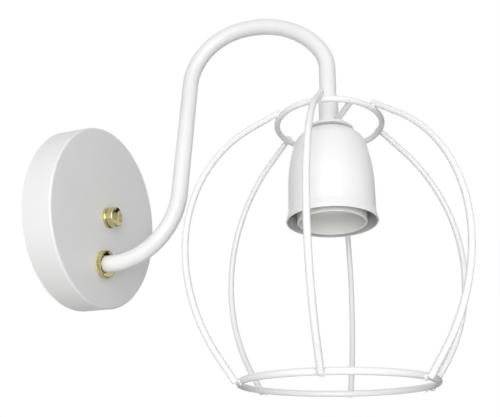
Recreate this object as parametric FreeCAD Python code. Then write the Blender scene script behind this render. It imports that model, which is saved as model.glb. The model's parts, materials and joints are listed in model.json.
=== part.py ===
"""Cage wall light: a round wall canopy, a bent swan-neck arm and a bell cup with a screw lampholder,
carried inside an open cage of welded wire.

Units are millimetres. +Z is up, the wall is the plane y = 0 and the light stands out towards -Y. The
origin is the centre of the canopy's back, on the wall. The arm lies in the plane x = 0, and the cup,
the lampholder and the cage share one vertical axis at y = -ARM_REACH.
"""
import FreeCAD, Part

import math
import os

V = FreeCAD.Vector

# ---- wall side: canopy, strip and the central fixing ---------------------------------------------
CANOPY_R = 56.0          # outside radius of the pressed dish
CANOPY_DEPTH = 18.5      # from the wall to the front face
CANOPY_SHEET = 1.0
CANOPY_EDGE_R = 1.3      # outside radius of the pressed front edge

STRIP_LENGTH = 88.0      # steel strip that is screwed to the wall
STRIP_WIDTH = 14.0
STRIP_SHEET = 2.0
SLOT_SPACING = 70.0      # between the centres of the two wall-screw slots
SLOT_LENGTH = 12.0
SLOT_WIDTH = 4.5
STRIP_CORNER_R = 2.5

STUD_R = 3.0             # M6 stud from the strip through the canopy
STUD_HOLE_R = 3.3        # its hole in the canopy
STUD_HEAD_R = 5.0
STUD_HEAD_H = 0.8        # sits flush in a recess in the back of the strip
STUD_TIP = 0.3           # chamfer at its front end
STUD_NUT_FLATS = 10.0
STUD_NUT_H = 3.2

CAP_WASHER_R = 6.6       # brass, under the cap nut
CAP_WASHER_H = 1.4
CAP_NECK_R = 5.2         # waist between the washer and the nut's body
CAP_NECK_H = 1.3
CAP_BODY_R = 6.25
CAP_BODY_H = 3.6
CAP_DISH_R = 5.6         # shallow dish in the nut's front
CAP_DISH_H = 1.5
CAP_DISH_FLOOR_R = 3.4   # where the dish's slope would meet its flat floor
CAP_DISH_BEND = 3.0
CAP_FLOOR = 0.7          # metal between the dish and the blind bore
CAP_BORE_SPARE = 0.3     # bore left past the stud's end

# ---- arm ------------------------------------------------------------------------------------------
TUBE_R = 5.0
TUBE_WALL = 1.0
ARM_DROP = 30.0          # the arm's hole is this far below the canopy's centre
ARM_REACH = 160.0        # from the wall to the axis of cup and cage
ARM_TOP_Z = 120.2        # highest point of the tube's centre line
ARM_TAIL = 6.0           # length of tube behind the canopy's sheet
ARM_LEAD_OUT = 6.5       # straight tube in front of the canopy, before the lower bend
LOWER_BEND_R = 41.5
ARM_LEAN = 2.2           # degrees that the rising run leans away from the wall
ARCH_R = (36.0, 56.0, 28.5)      # proportions of the three arcs of the top bend
ARCH_TURN = (80.0, 67.0)         # degrees turned by the first two; the third turns the rest

RING_NUT_RIM = 3.4       # knurled brass nut: radial width round the tube
RING_NUT_H = 3.2
RING_NUT_LIP = 0.6       # flat edge round the nut's dished front
RING_NUT_DISH_H = 1.6
ARM_WASHER_RIM = 4.0
ARM_WASHER_H = 1.0
TUBE_NUT_RIM = 2.0       # from the tube's thread to the flats of its thin hexagon nuts
TUBE_NUT_H = 3.0
NUT_CHAMFER = 0.4        # height of the bevel on a nut's corners
BUSH_LIP_INSET = 0.1     # plastic bush that keeps the leads off the tube's cut end
BUSH_LIP_H = 1.0
BUSH_LENGTH = 4.0
BUSH_WALL = 0.8

# ---- cup and the pieces stacked on its nipple ----------------------------------------------------
COLLAR_WALL = 0.8
COLLAR_LENGTH = 22.0
COLLAR_SOCKET = 9.0      # length of tube inside the collar
NIPPLE_WALL = 1.5        # the nipple has the tube's outside thread
HUB_R = 14.0
HUB_SHEET = 1.6
HUB_TOP_Z = 36.8
CUP_BOSS_RIM = 3.0       # radial width of the boss round the nipple
CUP_BOSS_H = 1.0         # leaves the thin dark gap under the cage's hub
CUP_SHEET = 0.9
CUP_SHOULDER_R = 19.0    # radius at which the top and the slope under it would meet
CUP_SHOULDER_BEND = 12.0
CUP_SLOPE_H = 23.2       # from the top to where that slope would meet the side
CUP_SLOPE_BEND = 93.0
CUP_SIDE_R = 24.0        # straight side above the flared lip
CUP_LIP_R = 25.2
CUP_FLARE_H = 6.0
CUP_FLARE_BEND = 10.0

# ---- lampholder -----------------------------------------------------------------------------------
HOLDER_R = 19.0          # skirt at the mouth
HOLDER_UPPER_R = 17.6
HOLDER_LIP_BELOW = 0.5   # the skirt ends this far below the cup's rim
SKIRT_LENGTH = 29.8      # from its lip to its top face
MOUTH_WALL = 1.1
MOUTH_DEPTH = 12.4
SKIRT_STEP_H = 17.3      # from the lip to where the skirt gets slimmer
SLEEVE_BORE_R = 13.3     # screw shell for a 27 mm lamp cap
SLEEVE_SHEET = 0.5
SLEEVE_END_H = 13.0      # its lower edge is this far above the skirt's lip
CAP_WALL = 2.0
CAP_SIDE_H = 7.5
CAP_SHOULDER_H = 8.6
HOLDER_NECK_H = 4.0
HOLDER_NECK_RIM = 2.6    # radial width of the neck round the nipple
NECK_GAP = 0.7           # between the neck and the nut above it
BLOCK_R = 15.4
BLOCK_H = 4.0
FOOT_H = 2.6             # ring under the block that holds the screw shell clear of the tongue
FOOT_BORE_R = 11.2
POLE_X = 7.0             # half the distance between the two terminals of the lampholder
PILLAR = 4.4             # side of each square brass terminal
RIVET_R = 1.2
TERMINAL_SCREW_R = 1.6
TERMINAL_HEAD_RIM = 0.5
TERMINAL_HEAD_H = 1.2
CONTACT_SHEET = 0.5
CONTACT_WIDTH = 4.0
TONGUE_LENGTH = 9.5
TONGUE_TIP = 2.2         # length of its upturned end
TONGUE_LIFT = 0.8        # by which that end turns up
TONGUE_ROOT_DROP = 0.35  # its bend lies this far below the block
TONGUE_DROOP = 14.0      # degrees below level, at rest

# ---- leads and connector --------------------------------------------------------------------------
LEAD_R = 1.0
LEAD_PITCH = 2.6         # between the two leads, inside the tube
LEAD_SHOW = 0.5          # straight lead between the bush and the turn down
LEAD_BEND_R = 4.0        # where they turn down behind the arm
LEAD_RUN = 5.2           # from that bend into the connector
LEAD_HEAD_BEND_R = 6.0   # where they spread above the lampholder's terminals
LEAD_HEAD_TURN = 45.0
LEAD_STOP = 0.6          # the insulation ends this far short of a terminal
CONNECTOR = (15.0, 8.0, 12.0)    # size in X, Y, Z
CONNECTOR_PITCH = 8.4
CONNECTOR_CORNER_R = 0.8
CONNECTOR_ENTRY_R = 2.2
CONNECTOR_LAP = 1.6      # length of lead inside the connector
CONNECTOR_SCREW_R = 1.5
CONNECTOR_SCREW_SUNK = 0.8
CONNECTOR_SCREW_REACH = 0.6      # past the wall of the lead's hole
CONNECTOR_NOTCH = (1.6, 1.2)     # groove between the two poles: width, depth

# ---- cage -----------------------------------------------------------------------------------------
WIRE_R = 1.7
TOP_RING_R = 30.0        # centre line
TOP_RING_Z = 39.65
BOTTOM_RING_R = 48.5
BOTTOM_RING_Z = -104.1
CAGE_MAX_R = 79.0        # centre line of a rib at its widest
CAGE_MAX_Z = -37.5
RIB_COUNT = 6
CAGE_TURN = 185.6        # degrees from +X to the first rib
FLANK_FULLNESS = 0.96    # share of the radius at which a flank would be one arc, with no straight
RIB_TAIL = 2.2           # wire past the weld on the top ring
FRONT_RIB_TAIL = 6.5
RIB_FOOT = -0.9          # the lower end stops this far short of the weld's middle
WELD_SINK = 0.3          # depth to which one wire is melted into the next
SPOKE_TURN = 218.0       # degrees from +X to the first of two opposite spokes
SPOKE_INNER_R = 9.2
SPOKE_RISE = 0.9         # centre of the spoke's end above the hub

# ---- clearances ------------------------------------------------------------------------------------
RUN_CLEAR = 0.08         # radial, for what turns or slides
THREAD_CLEAR = 0.05      # radial, between a thread and its nut
FIT_CLEAR = 0.10         # radial, between pieces that are slipped together

# ---- places worked out from the sizes above --------------------------------------------------------
FACE_Y = -CANOPY_DEPTH
SHEET_Y = FACE_Y + CANOPY_SHEET                  # inside face of the canopy's front
CAP_FRONT_Y = FACE_Y - CAP_WASHER_H - CAP_NECK_H - CAP_BODY_H
CAP_BORE_END_Y = CAP_FRONT_Y + CAP_DISH_H + CAP_FLOOR
STUD_END_Y = CAP_BORE_END_Y + CAP_BORE_SPARE
NIPPLE_R = TUBE_R
COLLAR_TOP_Z = HUB_TOP_Z + COLLAR_LENGTH
TUBE_END_Z = COLLAR_TOP_Z - COLLAR_SOCKET
HUB_BOTTOM_Z = HUB_TOP_Z - HUB_SHEET
CUP_TOP_Z = HUB_BOTTOM_Z - CUP_BOSS_H
NECK_TOP_Z = CUP_TOP_Z - CUP_SHEET - TUBE_NUT_H - NECK_GAP
SHOULDER_TOP_Z = NECK_TOP_Z - HOLDER_NECK_H
NIPPLE_END_Z = SHOULDER_TOP_Z - CAP_WALL         # flush with the ceiling of the lampholder's cap
SHOULDER_Z = SHOULDER_TOP_Z - CAP_SHOULDER_H
SKIRT_TOP_Z = SHOULDER_Z - CAP_SIDE_H            # seat of the inner block and of the cap
HOLDER_LIP_Z = SKIRT_TOP_Z - SKIRT_LENGTH
FOOT_Z = SKIRT_TOP_Z - FOOT_H
CUP_LIP_Z = HOLDER_LIP_Z + HOLDER_LIP_BELOW      # the cup is as deep as the holder it hides
SEAT = 2 * WIRE_R - WELD_SINK                    # between the centre lines of two welded wires


# ---- small tools -----------------------------------------------------------------------------------
def rounded_outline(corners, place):
    """Closed wire through corners (a, b, radius); a corner with a radius becomes a tangent arc.

    place turns the flat pair (a, b) into a point of space.
    """
    edges = []
    runs = []
    for i, (a, b, radius) in enumerate(corners):
        here = V(a, b, 0)
        before = V(*corners[i - 1][:2], 0) - here
        after = V(*corners[(i + 1) % len(corners)][:2], 0) - here
        if radius == 0:
            runs.append((here, here))
            continue
        before.normalize()
        after.normalize()
        half = math.acos(max(-1, min(1, before.dot(after)))) / 2
        back = radius / math.tan(half)
        start, end = here + before * back, here + after * back
        middle = (before + after).normalize()
        deepest = here + middle * (radius / math.sin(half) - radius)
        edges.append(Part.Arc(*[place(p.x, p.y) for p in (start, deepest, end)]).toShape())
        runs.append((start, end))
    for i, (start, _) in enumerate(runs):
        last = runs[i - 1][1]
        if last.distanceToPoint(start) > 1e-6:
            edges.append(Part.makeLine(place(last.x, last.y), place(start.x, start.y)))
    return Part.Wire(Part.__sortEdges__(edges))


def turned_about_y(corners, z=0.0):
    """Solid of revolution about the line x = 0, z = z; corners are (radius, y, corner radius)."""
    outline = rounded_outline(corners, lambda r, y: V(r, y, z))
    return Part.Face(outline).revolve(V(0, 0, z), V(0, 1, 0), 360)


def turned_about_cup_axis(corners):
    """Solid of revolution about the axis of cup and cage; corners are (radius, z, corner radius)."""
    outline = rounded_outline(corners, lambda r, z: V(r, -ARM_REACH, z))
    return Part.Face(outline).revolve(V(0, -ARM_REACH, 0), V(0, 0, 1), 360)


def ring_about_cup_axis(inner_r, outer_r, low_z, high_z):
    return turned_about_cup_axis([(inner_r, low_z, 0), (outer_r, low_z, 0), (outer_r, high_z, 0),
                                  (inner_r, high_z, 0)])


def hex_nut(flats, height, bore_r, base, axis):
    """Hexagonal nut whose bearing face is centred on base and which grows along axis."""
    corner_r = flats / math.sqrt(3)
    hexagon = Part.makePolygon([V(corner_r * math.cos(math.radians(60 * i)),
                                  corner_r * math.sin(math.radians(60 * i)), 0) for i in range(7)])
    nut = Part.Face(hexagon).extrude(V(0, 0, height))
    slope = 1.7
    crown = Part.makeCone(corner_r + slope * (height - NUT_CHAMFER), corner_r - slope * NUT_CHAMFER,
                          height, V(0, 0, 0))
    nut = nut.common(crown).cut(Part.makeCylinder(bore_r, height, V(0, 0, 0)))
    nut.Placement = FreeCAD.Placement(base, FreeCAD.Rotation(V(0, 0, 1), axis))
    return nut


def swept_round(edges, radius):
    """Round bar of the given radius along edges that run on in tangent order."""
    path = Part.Wire(edges)
    first = path.Edges[0]
    start = first.valueAt(first.FirstParameter)
    ahead = first.tangentAt(first.FirstParameter)
    section = Part.Wire([Part.Circle(start, ahead, radius).toShape()])
    return path.makePipeShell([section], True, False)


def path_in_plane(x, start, heading, moves):
    """Edges of a path in a plane of constant x.

    start is (y, z) and heading is in degrees, from +Y towards +Z. A move is ("run", length) or
    ("bend", radius, turn), where a positive turn goes on from +Y towards +Z.
    """
    y, z = start
    edges = []
    for move in moves:
        if move[0] == "run":
            end = (y + move[1] * math.cos(math.radians(heading)),
                   z + move[1] * math.sin(math.radians(heading)))
            edges.append(Part.makeLine(V(x, y, z), V(x, *end)))
        else:
            radius, turn = move[1:]
            side = math.copysign(90, turn)
            centre = (y + radius * math.cos(math.radians(heading + side)),
                      z + radius * math.sin(math.radians(heading + side)))

            def on_arc(part):
                spoke = math.radians(heading - side + turn * part)
                return centre[0] + radius * math.cos(spoke), centre[1] + radius * math.sin(spoke)

            end = on_arc(1.0)
            edges.append(Part.Arc(V(x, y, z), V(x, *on_arc(0.5)), V(x, *end)).toShape())
            heading += turn
        y, z = end
    return edges


def arm_moves():
    """Moves of the arm's centre line from the canopy's sheet to the tube's lower end.

    The three arcs of the top keep their proportions. Their common scale and the length of the
    rising run follow from two conditions: the arch ends above the cup's axis, and its top lies at
    ARM_TOP_Z. Both are linear, so the pair is solved in one step.
    """
    foot_turn = 90 - ARM_LEAN
    headings = [90 + ARM_LEAN]
    for turn in ARCH_TURN:
        headings.append(headings[-1] + turn)
    headings.append(270.0)
    sines = [math.sin(math.radians(h)) for h in headings]
    cosines = [math.cos(math.radians(h)) for h in headings]
    arch_y = sum(r * (sines[i + 1] - sines[i]) for i, r in enumerate(ARCH_R))
    arch_rise = ARCH_R[0] * (cosines[0] - cosines[1]) + ARCH_R[1] * (cosines[1] + 1)
    arch_fall = ARCH_R[1] * (1 + cosines[2]) - ARCH_R[2] * (cosines[2] - cosines[3])
    foot_y = FACE_Y - ARM_LEAD_OUT - LOWER_BEND_R * math.sin(math.radians(foot_turn))
    foot_z = -ARM_DROP + LOWER_BEND_R * (1 - math.cos(math.radians(foot_turn)))
    lean_y, lean_z = -math.sin(math.radians(ARM_LEAN)), math.cos(math.radians(ARM_LEAN))
    span, height = -ARM_REACH - foot_y, ARM_TOP_Z - foot_z
    scale = (span * lean_z - height * lean_y) / (arch_y * lean_z - arch_rise * lean_y)
    rise = (height - scale * arch_rise) / lean_z
    down = ARM_TOP_Z - scale * arch_fall - TUBE_END_Z
    turns = list(ARCH_TURN) + [270.0 - headings[2]]
    arch = [("bend", scale * r, turn) for r, turn in zip(ARCH_R, turns)]
    return [("run", ARM_LEAD_OUT + CANOPY_SHEET), ("bend", LOWER_BEND_R, -foot_turn),
            ("run", rise)] + arch + [("run", down)]


# ---- wall side ---------------------------------------------------------------------------------------
def wall_bracket():
    """Flat strip with two slots for wall screws and a recessed hole for the stud's head."""
    strip = Part.makeBox(STRIP_LENGTH, STRIP_SHEET, STRIP_WIDTH,
                         V(-STRIP_LENGTH / 2, -STRIP_SHEET, -STRIP_WIDTH / 2))
    corners = [e for e in strip.Edges if abs(e.tangentAt(0).y) > 0.9]
    strip = strip.makeFillet(STRIP_CORNER_R, corners)
    straight = SLOT_LENGTH - SLOT_WIDTH
    for side in (-1, 1):
        x = side * SLOT_SPACING / 2
        slot = Part.makeBox(straight, STRIP_SHEET, SLOT_WIDTH,
                            V(x - straight / 2, -STRIP_SHEET, -SLOT_WIDTH / 2))
        for end in (-1, 1):
            slot = slot.fuse(Part.makeCylinder(SLOT_WIDTH / 2, STRIP_SHEET,
                                               V(x + end * straight / 2, 0, 0), V(0, -1, 0)))
        strip = strip.cut(slot)
    strip = strip.cut(Part.makeCylinder(STUD_R + FIT_CLEAR, STRIP_SHEET, V(0, 0, 0), V(0, -1, 0)))
    return strip.cut(Part.makeCylinder(STUD_HEAD_R + FIT_CLEAR, STUD_HEAD_H, V(0, 0, 0), V(0, -1, 0)))


def fixing_stud():
    return turned_about_y([(0, 0, 0), (STUD_HEAD_R, 0, 0), (STUD_HEAD_R, -STUD_HEAD_H, 0),
                           (STUD_R, -STUD_HEAD_H, 0), (STUD_R, STUD_END_Y + STUD_TIP, 0),
                           (STUD_R - STUD_TIP, STUD_END_Y, 0), (0, STUD_END_Y, 0)])


def tube_nut(base, axis):
    """Thin hexagon nut for the thread that tube and nipple share."""
    return hex_nut(2 * (TUBE_R + TUBE_NUT_RIM), TUBE_NUT_H, TUBE_R + THREAD_CLEAR, base, axis)


def stud_nut():
    return hex_nut(STUD_NUT_FLATS, STUD_NUT_H, STUD_R + THREAD_CLEAR, V(0, -STRIP_SHEET, 0), V(0, -1, 0))


def canopy():
    """Dish pressed from sheet, with a rounded front edge and two holes in its face."""
    inside_r = CANOPY_R - CANOPY_SHEET
    dish = turned_about_y([(STUD_HOLE_R, FACE_Y, 0), (CANOPY_R, FACE_Y, CANOPY_EDGE_R),
                           (CANOPY_R, 0, 0), (inside_r, 0, 0),
                           (inside_r, SHEET_Y, CANOPY_EDGE_R - CANOPY_SHEET),
                           (STUD_HOLE_R, SHEET_Y, 0)])
    arm_hole = Part.makeCylinder(TUBE_R + RUN_CLEAR, CANOPY_SHEET, V(0, SHEET_Y, -ARM_DROP), V(0, -1, 0))
    return dish.cut(arm_hole)


def cap_washer():
    back, front = FACE_Y, FACE_Y - CAP_WASHER_H
    bore_r = STUD_R + RUN_CLEAR
    return turned_about_y([(bore_r, back, 0), (CAP_WASHER_R, back, 0), (CAP_WASHER_R, front, 0.5),
                           (bore_r, front, 0)])


def cap_nut():
    """Round nut with a waisted foot and a dished front, bored blind for the stud."""
    foot = FACE_Y - CAP_WASHER_H
    body = foot - CAP_NECK_H
    dish = CAP_FRONT_Y + CAP_DISH_H
    bore_r = STUD_R + RUN_CLEAR
    return turned_about_y([(bore_r, foot, 0), (CAP_NECK_R, foot, 0), (CAP_NECK_R, body, 0.4),
                           (CAP_BODY_R, body, 0.4), (CAP_BODY_R, CAP_FRONT_Y, 0.4),
                           (CAP_DISH_R, CAP_FRONT_Y, 0.1),
                           (CAP_DISH_FLOOR_R, dish, CAP_DISH_BEND), (0, dish, 0),
                           (0, CAP_BORE_END_Y, 0), (bore_r, CAP_BORE_END_Y, 0)])


# ---- arm ---------------------------------------------------------------------------------------------
def arm_start():
    return -ARM_DROP, 180.0


def arm_tube():
    """Tube bent in one plane: out of the canopy, up, over the arch and down to the collar."""
    z, heading = arm_start()
    moves = [("run", ARM_TAIL)] + arm_moves()
    path = path_in_plane(0, (SHEET_Y + ARM_TAIL, z), heading, moves)
    return swept_round(path, TUBE_R).cut(swept_round(path, TUBE_R - TUBE_WALL))


def arm_ring_nut():
    """Thin round nut whose front slopes in from a narrow flat edge to the tube."""
    back, front = FACE_Y, FACE_Y - RING_NUT_H
    bore_r, rim_r = TUBE_R + THREAD_CLEAR, TUBE_R + RING_NUT_RIM
    return turned_about_y([(bore_r, back, 0), (rim_r, back, 0.3), (rim_r, front, 0.3),
                           (rim_r - RING_NUT_LIP, front, 0), (bore_r, front + RING_NUT_DISH_H, 0)],
                          -ARM_DROP)


def arm_washer():
    bore_r, rim_r = TUBE_R + FIT_CLEAR, TUBE_R + ARM_WASHER_RIM
    inner = SHEET_Y + ARM_WASHER_H
    return turned_about_y([(bore_r, SHEET_Y, 0), (rim_r, SHEET_Y, 0), (rim_r, inner, 0),
                           (bore_r, inner, 0)], -ARM_DROP)


def arm_lock_nut():
    return tube_nut(V(0, SHEET_Y + ARM_WASHER_H, -ARM_DROP), V(0, 1, 0))


def tail_bush():
    """Flanged plastic bush pushed into the tube's rear end."""
    end = SHEET_Y + ARM_TAIL
    outer_r = TUBE_R - TUBE_WALL - THREAD_CLEAR
    bore_r = outer_r - BUSH_WALL
    lip_r = TUBE_R - BUSH_LIP_INSET
    return turned_about_y([(bore_r, end + BUSH_LIP_H, 0.3), (lip_r, end + BUSH_LIP_H, 0.3),
                           (lip_r, end, 0), (outer_r, end, 0),
                           (outer_r, end + BUSH_LIP_H - BUSH_LENGTH, 0),
                           (bore_r, end + BUSH_LIP_H - BUSH_LENGTH, 0)], -ARM_DROP)


# ---- leads and connector ------------------------------------------------------------------------------
def lead_exit():
    """Place in y at which the leads start to turn down, just behind the bush."""
    return SHEET_Y + ARM_TAIL + BUSH_LIP_H + LEAD_SHOW


def connector_slant():
    """Angle from vertical at which a lead runs out to its pole of the connector."""
    return math.asin((CONNECTOR_PITCH - LEAD_PITCH) / 2 / (LEAD_BEND_R + LEAD_RUN))


def connector_top_z():
    drop = (LEAD_BEND_R + LEAD_RUN) * math.cos(connector_slant())
    return -ARM_DROP - drop + CONNECTOR_LAP


def lead(side):
    """One insulated lead from the connector through the arm to the lampholder's terminal."""
    x = side * LEAD_PITCH / 2
    slant = connector_slant()
    down = V(side * math.sin(slant), 0, -math.cos(slant))
    turn_start = V(x, lead_exit(), -ARM_DROP)
    centre = turn_start + down * LEAD_BEND_R
    turn_end = centre + V(0, LEAD_BEND_R, 0)
    middle = centre + (V(0, 1, 0) - down).normalize() * LEAD_BEND_R
    tail = turn_end + down * LEAD_RUN
    edges = [Part.makeLine(tail, turn_end), Part.Arc(turn_end, middle, turn_start).toShape()]

    z, heading = arm_start()
    moves = [("run", lead_exit() - SHEET_Y)] + arm_moves()
    moves[-1] = ("run", moves[-1][1] + TUBE_END_Z - NIPPLE_END_Z)
    edges += path_in_plane(x, (lead_exit(), z), heading, moves)

    turn = math.radians(LEAD_HEAD_TURN)
    head = V(x, -ARM_REACH, NIPPLE_END_Z)
    pivot = head + V(side * LEAD_HEAD_BEND_R, 0, 0)

    def on_spread(angle):
        return pivot + V(-side * math.cos(angle), 0, -math.sin(angle)) * LEAD_HEAD_BEND_R

    spread = on_spread(turn)
    reach = (POLE_X - PILLAR / 2 - abs(spread.x)) / math.sin(turn) - LEAD_STOP
    end = spread + V(side * math.sin(turn), 0, -math.cos(turn)) * reach
    edges += [Part.Arc(head, on_spread(turn / 2), spread).toShape(), Part.makeLine(spread, end)]
    return swept_round(edges, LEAD_R)


def terminal_block():
    """Two-pole connector that hangs on the leads inside the canopy."""
    width, depth, height = CONNECTOR
    centre_y = lead_exit() + LEAD_BEND_R
    top = connector_top_z()
    block = Part.makeBox(width, depth, height, V(-width / 2, centre_y - depth / 2, top - height))
    corners = [e for e in block.Edges if abs(e.tangentAt(0).z) > 0.9]
    block = block.makeFillet(CONNECTOR_CORNER_R, corners)
    for side in (-1, 1):
        x = side * CONNECTOR_PITCH / 2
        block = block.cut(Part.makeCylinder(CONNECTOR_ENTRY_R, height, V(x, centre_y, top - height)))
        block = block.cut(Part.makeCylinder(CONNECTOR_SCREW_R + FIT_CLEAR, depth / 2,
                                            V(x, centre_y - depth / 2, top - height / 2), V(0, 1, 0)))
    notch_width, notch_depth = CONNECTOR_NOTCH
    front = centre_y - depth / 2
    return block.cut(Part.makeBox(notch_width, notch_depth, height,
                                  V(-notch_width / 2, front, top - height)))


def terminal_screws():
    """The connector's two clamping screws, sunk in their holes."""
    depth, height = CONNECTOR[1:]
    front = lead_exit() + LEAD_BEND_R - depth / 2
    z = connector_top_z() - height / 2
    length = depth / 2 - CONNECTOR_ENTRY_R - CONNECTOR_SCREW_SUNK + CONNECTOR_SCREW_REACH
    screws = [Part.makeCylinder(CONNECTOR_SCREW_R, length,
                                V(side * CONNECTOR_PITCH / 2, front + CONNECTOR_SCREW_SUNK, z),
                                V(0, 1, 0)) for side in (-1, 1)]
    return Part.makeCompound(screws)


# ---- cup and its stack ---------------------------------------------------------------------------------
def tube_collar():
    """Sleeve that joins the arm's end to the nipple and bears on the cage's hub."""
    bore_r = NIPPLE_R + THREAD_CLEAR
    outer_r = bore_r + COLLAR_WALL
    return turned_about_cup_axis([(bore_r, HUB_TOP_Z, 0), (outer_r, HUB_TOP_Z, 0.2),
                                  (outer_r, COLLAR_TOP_Z, 0.3), (bore_r, COLLAR_TOP_Z, 0)])


def threaded_nipple():
    return ring_about_cup_axis(NIPPLE_R - NIPPLE_WALL, NIPPLE_R, NIPPLE_END_Z, TUBE_END_Z - 0.3)


def lamp_cup():
    """Bell pressed from sheet: flat top with a low boss, round shoulder, straight side, flared lip."""
    t = CUP_SHEET
    bore_r = NIPPLE_R + FIT_CLEAR
    boss_r = NIPPLE_R + CUP_BOSS_RIM
    outside = [(CUP_SHOULDER_R, CUP_TOP_Z, CUP_SHOULDER_BEND),
               (CUP_SIDE_R, CUP_TOP_Z - CUP_SLOPE_H, CUP_SLOPE_BEND),
               (CUP_SIDE_R, CUP_LIP_Z + CUP_FLARE_H, CUP_FLARE_BEND)]
    ends = [(bore_r, CUP_TOP_Z), (CUP_LIP_R, CUP_LIP_Z)]
    inside = []
    for i, (r, z, bend) in enumerate(outside):
        before = V(*(outside[i - 1][:2] if i else ends[0]), 0) - V(r, z, 0)
        after = V(*(outside[i + 1][:2] if i + 1 < len(outside) else ends[1]), 0) - V(r, z, 0)
        half = before.getAngle(after) / 2
        middle = before.normalize() + after.normalize()
        turn = 1 if middle.x < 0 else -1
        at = V(r, z, 0) + middle.normalize() * (turn * t / math.sin(half))
        inside.append((at.x, at.y, bend - turn * t))
    return turned_about_cup_axis(
        [(bore_r, HUB_BOTTOM_Z, 0), (boss_r, HUB_BOTTOM_Z, 0.3), (boss_r, CUP_TOP_Z, 0)] + outside
        + [(CUP_LIP_R, CUP_LIP_Z, 0), (CUP_LIP_R - t, CUP_LIP_Z, 0)] + inside[::-1]
        + [(bore_r, CUP_TOP_Z - t, 0)])


def cup_lock_nut():
    return tube_nut(V(0, -ARM_REACH, CUP_TOP_Z - CUP_SHEET), V(0, 0, -1))


# ---- lampholder ------------------------------------------------------------------------------------------
def holder_cap():
    """Upper half of the lampholder, screwed on the nipple by its neck."""
    bore_r = NIPPLE_R + THREAD_CLEAR
    neck_r = NIPPLE_R + HOLDER_NECK_RIM
    inner_r = BLOCK_R + 2 * FIT_CLEAR
    return turned_about_cup_axis([
        (HOLDER_UPPER_R, SKIRT_TOP_Z, 0), (HOLDER_UPPER_R, SHOULDER_Z, 3.0),
        (neck_r, SHOULDER_TOP_Z, 1.5), (neck_r, NECK_TOP_Z, 0.6), (bore_r, NECK_TOP_Z, 0),
        (bore_r, NIPPLE_END_Z, 0), (neck_r, NIPPLE_END_Z, 0.4),
        (inner_r, SHOULDER_Z - CAP_WALL / 2, 1.5), (inner_r, SKIRT_TOP_Z, 0)])


def holder_skirt():
    """Lower half of the lampholder: a wide mouth, then a bore that holds the screw shell."""
    sleeve_r = SLEEVE_BORE_R + SLEEVE_SHEET + FIT_CLEAR
    mouth_r = HOLDER_R - MOUTH_WALL
    mouth_z = HOLDER_LIP_Z + MOUTH_DEPTH
    step_z = HOLDER_LIP_Z + SKIRT_STEP_H
    return turned_about_cup_axis([
        (HOLDER_R, HOLDER_LIP_Z, 0.4), (HOLDER_R, step_z, 0.6), (HOLDER_UPPER_R, step_z, 0),
        (HOLDER_UPPER_R, SKIRT_TOP_Z, 0), (sleeve_r, SKIRT_TOP_Z, 0), (sleeve_r, mouth_z, 0.5),
        (mouth_r, mouth_z, 1.2), (mouth_r, HOLDER_LIP_Z, 0.4)])


def thread_sleeve():
    """Screw shell; its thread is left to the finish."""
    return ring_about_cup_axis(SLEEVE_BORE_R, SLEEVE_BORE_R + SLEEVE_SHEET,
                               HOLDER_LIP_Z + SLEEVE_END_H, FOOT_Z - CONTACT_SHEET)


def holder_block():
    """Insulating disc with a ring under it; it carries both contacts and both terminals."""
    foot_r = SLEEVE_BORE_R + SLEEVE_SHEET
    top = SKIRT_TOP_Z + BLOCK_H
    block = turned_about_cup_axis([
        (0, top, 0), (BLOCK_R, top, 0), (BLOCK_R, SKIRT_TOP_Z, 0), (foot_r, SKIRT_TOP_Z, 0),
        (foot_r, FOOT_Z, 0), (FOOT_BORE_R, FOOT_Z, 0), (FOOT_BORE_R, SKIRT_TOP_Z, 0),
        (0, SKIRT_TOP_Z, 0)])
    for side in (-1, 1):
        block = block.cut(Part.makeCylinder(RIVET_R + FIT_CLEAR, BLOCK_H,
                                            V(side * POLE_X, -ARM_REACH, SKIRT_TOP_Z)))
    return block


def holder_terminals():
    """Two square brass pillars, each on a rivet through the block."""
    top = SKIRT_TOP_Z + BLOCK_H
    terminals = []
    for side in (-1, 1):
        pillar = Part.makeBox(PILLAR, PILLAR, PILLAR,
                              V(side * POLE_X - PILLAR / 2, -ARM_REACH - PILLAR / 2, top))
        hole = Part.makeCylinder(TERMINAL_SCREW_R + THREAD_CLEAR, PILLAR,
                                 V(side * POLE_X, -ARM_REACH - PILLAR / 2, top + PILLAR / 2), V(0, 1, 0))
        rivet = Part.makeCylinder(RIVET_R, BLOCK_H, V(side * POLE_X, -ARM_REACH, SKIRT_TOP_Z))
        terminals.append(pillar.cut(hole).fuse(rivet).removeSplitter())
    return Part.makeCompound(terminals)


def holder_screws():
    """Clamping screws of the two pillars, driven from the front."""
    z = SKIRT_TOP_Z + BLOCK_H + PILLAR / 2
    front = -ARM_REACH - PILLAR / 2
    screws = []
    for side in (-1, 1):
        shank = Part.makeCylinder(TERMINAL_SCREW_R, 0.9 * PILLAR, V(side * POLE_X, front, z), V(0, 1, 0))
        head = Part.makeCylinder(TERMINAL_SCREW_R + TERMINAL_HEAD_RIM, TERMINAL_HEAD_H,
                                 V(side * POLE_X, front, z), V(0, -1, 0))
        screws.append(shank.fuse(head).removeSplitter())
    return Part.makeCompound(screws)


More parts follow.
